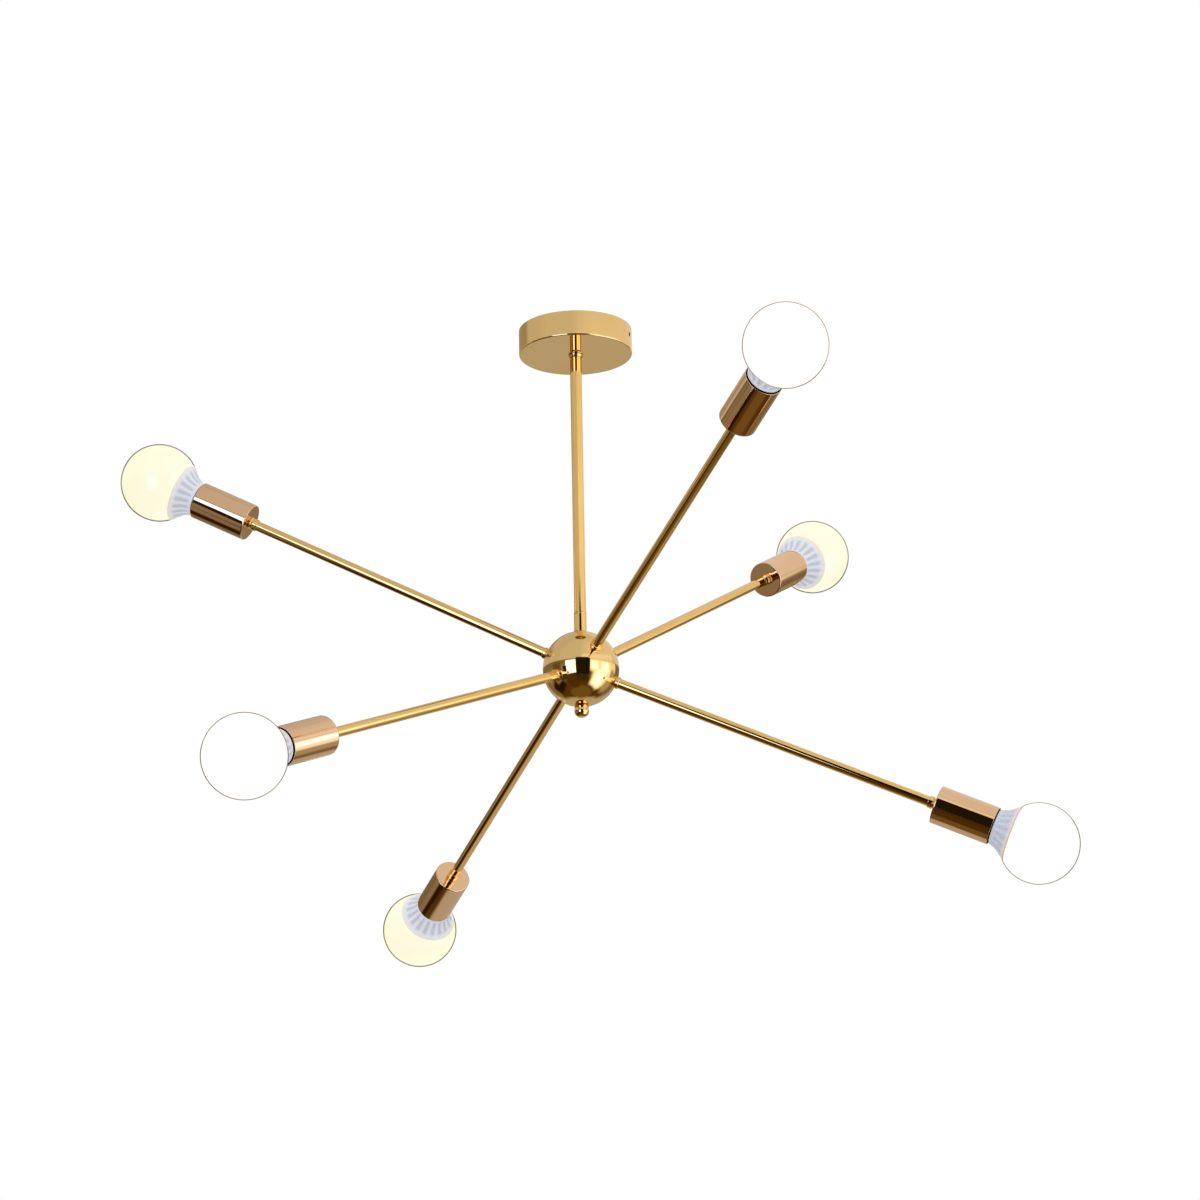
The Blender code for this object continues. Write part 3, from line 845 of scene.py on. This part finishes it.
def make_bulbs():
    """Put a neck and a globe on every arm. The CAD globe is faceted, so its radius is worked
    out from its length and the radius of its seam, which the neck's top shares."""
    start, end, _ = along("bulb_globe_1", 1)
    seam_radius = along("bulb_neck_1", 1)[2]
    length = end - start
    radius = (length ** 2 + seam_radius ** 2) / (2 * length)
    middle = end - radius
    seam = start - middle

    shaded = (ribbed_neck(radius, seam), painted_shade_neck)
    lit = (shaded[0].copy(), painted_light_neck)
    bright = (globe_mesh("globe_bright", radius, seam), bright_opal)
    warm = (globe_mesh("globe_warm", radius, seam), warm_opal)
    for number in ARMS:
        body = "bulb_%d" % number
        matrix = arm_matrix(number) @ Matrix.Translation((0, 0, middle * MM))
        # The necks listed above take the painted-shade copy, the others the painted-light copy.
        mesh, material = shaded if number in NECKS_IN_PAINTED_SHADE else lit
        name = "neck_fine_%d" % number
        place(name, mesh, material, body, ["bulb_neck_%d" % number], matrix)
        mesh, material = warm if number in WARM_BULBS else bright
        name = "globe_fine_%d" % number
        place(name, mesh, material, body, ["bulb_globe_%d" % number], matrix)


# ---------------------------------------------------------------- studio
# The metal mirrors a round studio with soft panels and dark flags. Each patch is (azimuth
# range, elevation range, softness, colour) in degrees as seen from the hub, with azimuth 0
# towards the camera and positive to its right. A range wider than a full turn goes all the way
# round. Later patches lie over earlier ones.
STUDIO_RADIUS = 1.7
STUDIO_WALL = (0.60, 0.60, 0.59)
STUDIO_PATCHES = (
    ((-180, -70), (10, 100), 20.0, (0.55, 0.54, 0.53)),
    ((-185, -114), (28, 37), 11.0, (0.30, 0.25, 0.16)),
    ((12, 110), (10, 70), 36.0, (0.74, 0.735, 0.71)),
    ((90, 170), (10, 62), 16.0, (0.76, 0.75, 0.73)),
    ((3, 110), (13, 29), 7.0, (0.92, 0.91, 0.87)),
    ((-400, 400), (-95, 16), 2.5, (0.20, 0.16, 0.09)),
    ((-130, -48), (-30, 5), 8.0, (0.26, 0.23, 0.16)),
    ((-400, 400), (-95, -38), 9.0, (0.085, 0.045, 0.008)),
    ((-400, 400), (-95, -66), 9.0, (0.16, 0.10, 0.025)),
    ((-56, -8), (-70, -22), 9.0, (0.075, 0.036, 0.004)),
    ((-92, -64), (-10, 12), 8.0, (0.12, 0.09, 0.05)),
    ((-129, -99), (-46, -20), 7.0, (0.03, 0.012, 0.001)),
    ((-114, -72), (-50, -34), 6.0, (0.02, 0.008, 0.001)),
    ((-76, -50), (-37, -25), 6.0, (0.05, 0.04, 0.04)),
    ((140, 219), (-60, -46), 10.0, (0.36, 0.32, 0.22)),
    ((148, 211), (-66, 4), 12.0, (0.47, 0.45, 0.40)),
    ((94, 126), (-46, 16), 12.0, (0.42, 0.38, 0.28)),
    ((27, 103), (-20, 15), 5.0, (1.10, 1.13, 1.00)),
    ((96, 123), (2, 16), 6.0, (0.95, 0.97, 0.83)),
    ((38, 99), (-57, -14), 12.0, (1.05, 1.08, 0.95)),
    ((30, 52), (-12, 9), 9.0, (1.6, 1.9, 2.5)),
    ((48, 88), (-54, -14), 14.0, (1.6, 1.9, 2.8)),
    ((64, 93), (-11, 10), 9.0, (1.4, 1.7, 2.5)),
    ((-18, 31), (-52, -16), 16.0, (0.045, 0.026, 0.004)),
    ((-15.5, 27), (-30, 20), 2.0, (0.014, 0.010, 0.003)),
    ((-47, -16), (-25, 13), 1.6, (1.6, 2.1, 3.4)),
    ((-56, -45), (-16, -0.8), 1.5, (0.02, 0.014, 0.012)),
)
# Azimuths run from -180 to 180. A range that starts past BEHIND_FROM is read against azimuths
# that run from TURN_START to 270 instead, so that it can cross the back.
BEHIND_FROM = 60.0
TURN_START = -90.0


def studio_colour(nodes, direction):
    """The colour of the studio's wall for a direction from its middle."""
    x, y, z = nodes.axes(direction)
    turn = math.radians(CAMERA_TURN - 90)
    cosine = math.cos(turn)
    sine = math.sin(turn)
    toward = nodes.math("ADD", nodes.math("MULTIPLY", x, cosine), nodes.math("MULTIPLY", y, sine))
    side = nodes.math("SUBTRACT", nodes.math("MULTIPLY", y, cosine), nodes.math("MULTIPLY", x, sine))
    azimuth = nodes.math("DEGREES", nodes.math("ARCTAN2", side, toward))
    behind = nodes.math("MULTIPLY", nodes.math("LESS_THAN", azimuth, TURN_START), 360.0)
    full_turn = nodes.math("ADD", azimuth, behind)
    elevation = nodes.math("DEGREES", nodes.math("ARCSINE", z))

    def within(value, low, high, soft):
        """1 between two angles and 0 outside them, changing over a soft edge."""
        enters = nodes.spread(value, 0.0, 1.0, start=low - soft / 2, end=low + soft / 2)
        leaves = nodes.spread(value, 1.0, 0.0, start=high - soft / 2, end=high + soft / 2)
        return nodes.math("MULTIPLY", enters, leaves)

    colour = STUDIO_WALL
    for azimuths, elevations, soft, tone in STUDIO_PATCHES:
        inside = within(elevation, *elevations, soft)
        if azimuths[1] - azimuths[0] < 360:
            source = full_turn if azimuths[0] > BEHIND_FROM else azimuth
            inside = nodes.math("MULTIPLY", inside, within(source, *azimuths, soft))
        colour = nodes.mix(inside, colour, tone)
    return colour


def make_studio():
    """A glowing dome round the chandelier that only reflections see."""
    material = bpy.data.materials.new("studio_wall")
    material.use_nodes = True
    material.node_tree.nodes.clear()
    nodes = Nodes(material.node_tree)
    spot = nodes.add("ShaderNodeTexCoord").outputs["Object"]
    unit = nodes.add("ShaderNodeVectorMath", operation="NORMALIZE")
    nodes.link(spot, unit.inputs[0])
    glow = nodes.add("ShaderNodeEmission")
    nodes.feed(glow.inputs["Color"], studio_colour(nodes, unit.outputs[0]))
    output = nodes.add("ShaderNodeOutputMaterial")
    nodes.link(glow.outputs[0], output.inputs["Surface"])

    bm = bmesh.new()
    bmesh.ops.create_icosphere(bm, subdivisions=5, radius=STUDIO_RADIUS)
    mesh = bpy.data.meshes.new("studio_dome")
    bm.to_mesh(mesh)
    bm.free()
    mesh.materials.append(material)
    dome = bpy.data.objects.new("studio_dome", mesh)
    bpy.context.scene.collection.objects.link(dome)
    dome.location = HUB
    dome.visible_camera = False
    dome.visible_diffuse = False
    dome.visible_transmission = False
    dome.visible_volume_scatter = False
    dome.visible_shadow = False


def make_white_world():
    world = bpy.data.worlds.new("white")
    bpy.context.scene.world = world
    world.use_nodes = True
    background = world.node_tree.nodes["Background"]
    background.inputs["Color"].default_value = (1.0, 1.0, 1.0, 1.0)


# The floor in metres. It is so wide that no view from above shows its edge.
FLOOR_SIZE = 600.0
FLOOR_HEIGHT = -4.6


def make_floor():
    """A pale floor that reflections don't see."""
    material, nodes, shader, where = new_material("floor")
    shade = nodes.noise(where, scale=1.5, detail=2.0)
    pale = nodes.mix(shade, (0.86, 0.86, 0.85), (0.9, 0.9, 0.89))
    nodes.link(pale, shader.inputs["Base Color"])
    shader.inputs["Roughness"].default_value = 0.8
    bpy.ops.mesh.primitive_plane_add(size=FLOOR_SIZE, location=(0, 0, FLOOR_HEIGHT))
    floor = bpy.context.object
    floor.name = "floor"
    floor.data.materials.append(material)
    floor.visible_glossy = False


def make_light(name, location, target, size, power):
    """A soft square light that reflections don't see. Metres and watts."""
    data = bpy.data.lights.new(name, "AREA")
    data.size = size
    data.energy = power
    light = bpy.data.objects.new(name, data)
    bpy.context.scene.collection.objects.link(light)
    look = Vector(target) - Vector(location)
    turn_matrix = look.to_track_quat("-Z", "Y").to_matrix().to_4x4()
    light.matrix_world = Matrix.Translation(location) @ turn_matrix
    light.visible_glossy = False
    light.visible_camera = False


make_camera()
dress_cad_nodes()
make_canopy()
make_stem()
make_hub()
make_arms()
make_bulbs()
make_studio()
make_white_world()
make_floor()
make_light("overhead", (0.6, -1.2, 2.4), target=(0, 0, -0.4), size=3.0, power=14.0)
bpy.context.scene.view_settings.view_transform = "Standard"
